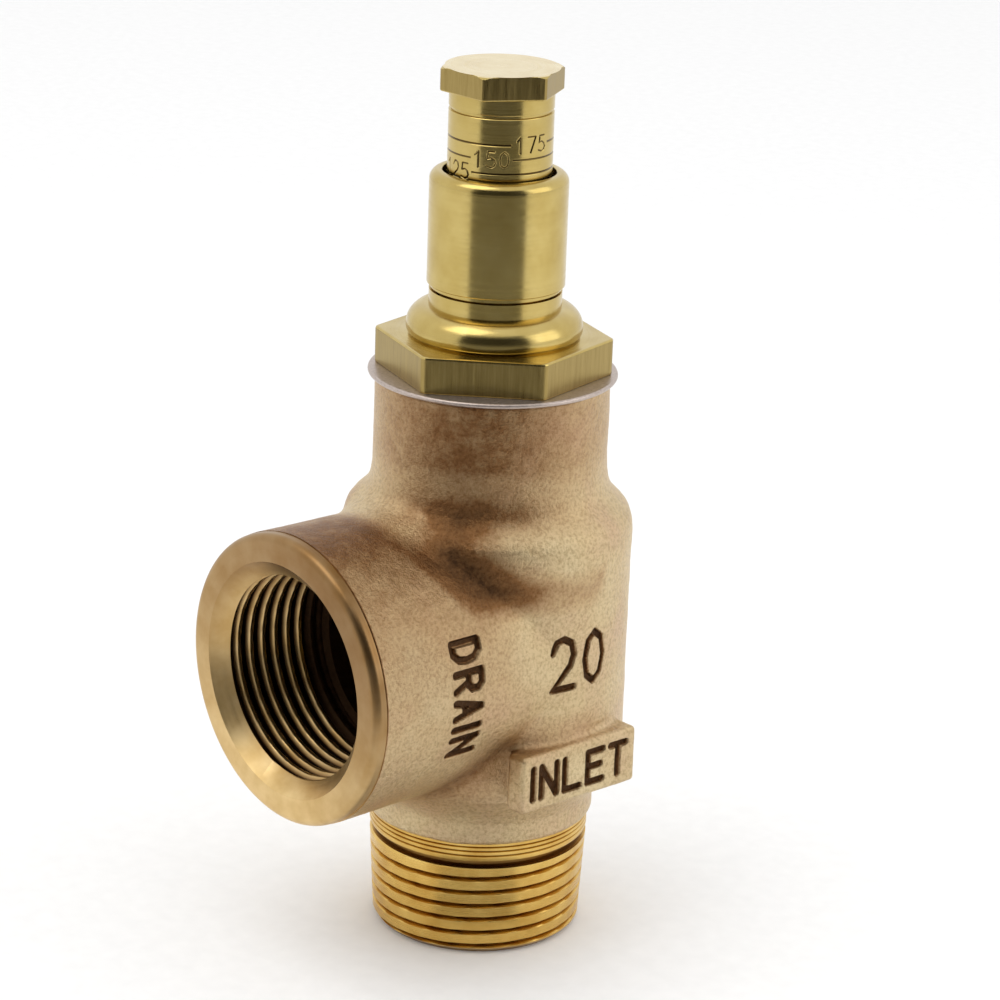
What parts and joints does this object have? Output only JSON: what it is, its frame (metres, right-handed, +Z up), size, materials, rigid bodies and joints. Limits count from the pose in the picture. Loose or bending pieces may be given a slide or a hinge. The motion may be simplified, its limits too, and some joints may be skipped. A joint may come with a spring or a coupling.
{
  "type": "pressure relief valve",
  "caption": "Angle pattern pressure relief valve: male threaded inlet below, female outlet on the side, spring bonnet and calibrated screw cap.",
  "frame": {"origin": "centre of the inlet end face, on the valve axis", "axes": "+Z up the valve axis towards the adjusting cap; the outlet opens towards -Y; the raised pad faces +X"},
  "size_m": [0.036, 0.0481, 0.1067],
  "materials": {
    "bronze": "sand cast",
    "brass": "turned",
    "gasket": "matte",
    "rubber": "matte",
    "steel": "satin"
  },
  "bodies": {
    "valve_body": {"body": "bronze", "seat_ring": "brass", "guide_bush": "brass", "slip_ring": "brass", "diaphragm": "rubber", "gasket_ring": "gasket", "bonnet": "brass", "reading_sleeve": "brass", "spring": "steel"},
    "spring_button": {"upper_spring_button": "brass", "thrust_ball": "steel"},
    "cap": {"adjusting_cap": "brass"},
    "valve_train": {"disc_seal": "rubber", "disc_holder": "brass", "disc_washer": "steel", "disc_screw": "steel", "stem": "steel", "diaphragm_plate": "brass", "diaphragm_washer": "steel", "stem_nut": "steel", "lower_spring_button": "brass"}
  },
  "joints": [
    {"name": "cap_travel", "type": "slide", "parent": "valve_body", "child": "spring_button", "axis": [0, 0, 1], "range_m": [-0.0042, 0.0043], "deforming": ["spring"]},
    {"name": "cap_turn", "type": "hinge", "parent": "spring_button", "child": "cap", "pos_m": [0, 0, 0.0938], "axis": [0, 0, 1], "range_deg": [-1008, 1032]},
    {"name": "disc_lift", "type": "slide", "parent": "valve_body", "child": "valve_train", "axis": [0, 0, 1], "range_m": [0, 0.003], "stiffness_N_per_m": 13500, "springref_m": -0.0003, "deforming": ["spring", "diaphragm"]}
  ],
  "couplings": [
    {"joint": "cap_turn", "follows": "cap_travel", "rad_per_m": 4188.8}
  ]
}
